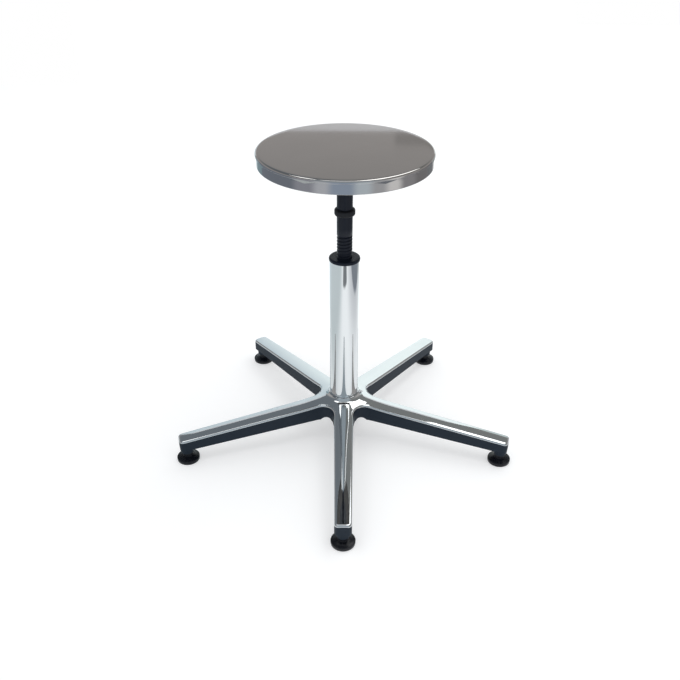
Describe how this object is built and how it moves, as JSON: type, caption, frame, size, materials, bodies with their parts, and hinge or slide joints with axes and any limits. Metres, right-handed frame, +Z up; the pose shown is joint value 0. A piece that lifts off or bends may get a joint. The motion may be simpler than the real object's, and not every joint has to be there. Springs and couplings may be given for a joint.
{
  "type": "screw-height machinist stool",
  "caption": "Backless round steel seat on a threaded spindle in a chromed column, on a cast star base with swivelling glides; turning the seat raises or lowers it.",
  "frame": {"origin": "on the column's axis at floor level", "axes": "+Z up along the column; one arm of the base points along -Y, and the part is widest along X"},
  "size_m": [0.6522, 0.6225, 0.592],
  "materials": {
    "seat_steel": "satin",
    "plywood": "matte, sealed black",
    "zinc_steel": "satin",
    "dark_steel": "satin",
    "spring_steel": "satin",
    "spindle_black": "satin",
    "rubber": "matte",
    "chrome": "mirror",
    "black_plastic": "gloss",
    "base_aluminium": "polished top, dark painted sides",
    "glide_plastic": "satin"
  },
  "bodies": {
    "base": {"base_star": "base_aluminium", "column_tube": "chrome", "guide_bush": "black_plastic", "spindle_nut": "dark_steel", "column_foot_plate": "zinc_steel", "column_washer": "zinc_steel", "column_bolt": "dark_steel", "hub_cover": "black_plastic", "glide_grip_1": "spring_steel", "glide_grip_2": "spring_steel", "glide_grip_3": "spring_steel", "glide_grip_4": "spring_steel", "glide_grip_5": "spring_steel"},
    "height_ring": {"bumper_ring": "rubber"},
    "seat": {"seat_pan": "seat_steel", "seat_board": "plywood", "seat_plate": "dark_steel", "spindle_socket": "dark_steel", "seat_screws": "dark_steel", "seat_washers": "dark_steel", "socket_set_screws": "dark_steel", "spindle": "spindle_black", "stop_washer": "zinc_steel", "stop_screw": "dark_steel"},
    "glide_1": {"glide_foot_1": "glide_plastic", "glide_stem_1": "zinc_steel"},
    "glide_2": {"glide_foot_2": "glide_plastic", "glide_stem_2": "zinc_steel"},
    "glide_3": {"glide_foot_3": "glide_plastic", "glide_stem_3": "zinc_steel"},
    "glide_4": {"glide_foot_4": "glide_plastic", "glide_stem_4": "zinc_steel"},
    "glide_5": {"glide_foot_5": "glide_plastic", "glide_stem_5": "zinc_steel"}
  },
  "joints": [
    {"name": "height", "type": "slide", "parent": "base", "child": "height_ring", "axis": [0, 0, 1], "range_m": [-0.0805, 0.055]},
    {"name": "seat_turn", "type": "hinge", "parent": "height_ring", "child": "seat", "pos_m": [0, 0, 0.4], "axis": [0, 0, 1], "range_deg": [-4560, 3115]},
    {"name": "glide_turn_1", "type": "hinge", "parent": "base", "child": "glide_1", "pos_m": [0, -0.32, 0.02], "axis": [0, 0, 1], "continuous": true},
    {"name": "glide_turn_2", "type": "hinge", "parent": "base", "child": "glide_2", "pos_m": [0.30434, -0.09889, 0.02], "axis": [0, 0, 1], "continuous": true},
    {"name": "glide_turn_3", "type": "hinge", "parent": "base", "child": "glide_3", "pos_m": [0.18809, 0.25889, 0.02], "axis": [0, 0, 1], "continuous": true},
    {"name": "glide_turn_4", "type": "hinge", "parent": "base", "child": "glide_4", "pos_m": [-0.18809, 0.25889, 0.02], "axis": [0, 0, 1], "continuous": true},
    {"name": "glide_turn_5", "type": "hinge", "parent": "base", "child": "glide_5", "pos_m": [-0.30434, -0.09889, 0.02], "axis": [0, 0, 1], "continuous": true}
  ],
  "couplings": [
    {"joint": "height", "follows": "seat_turn", "m_per_rad": 0.0010106}
  ]
}
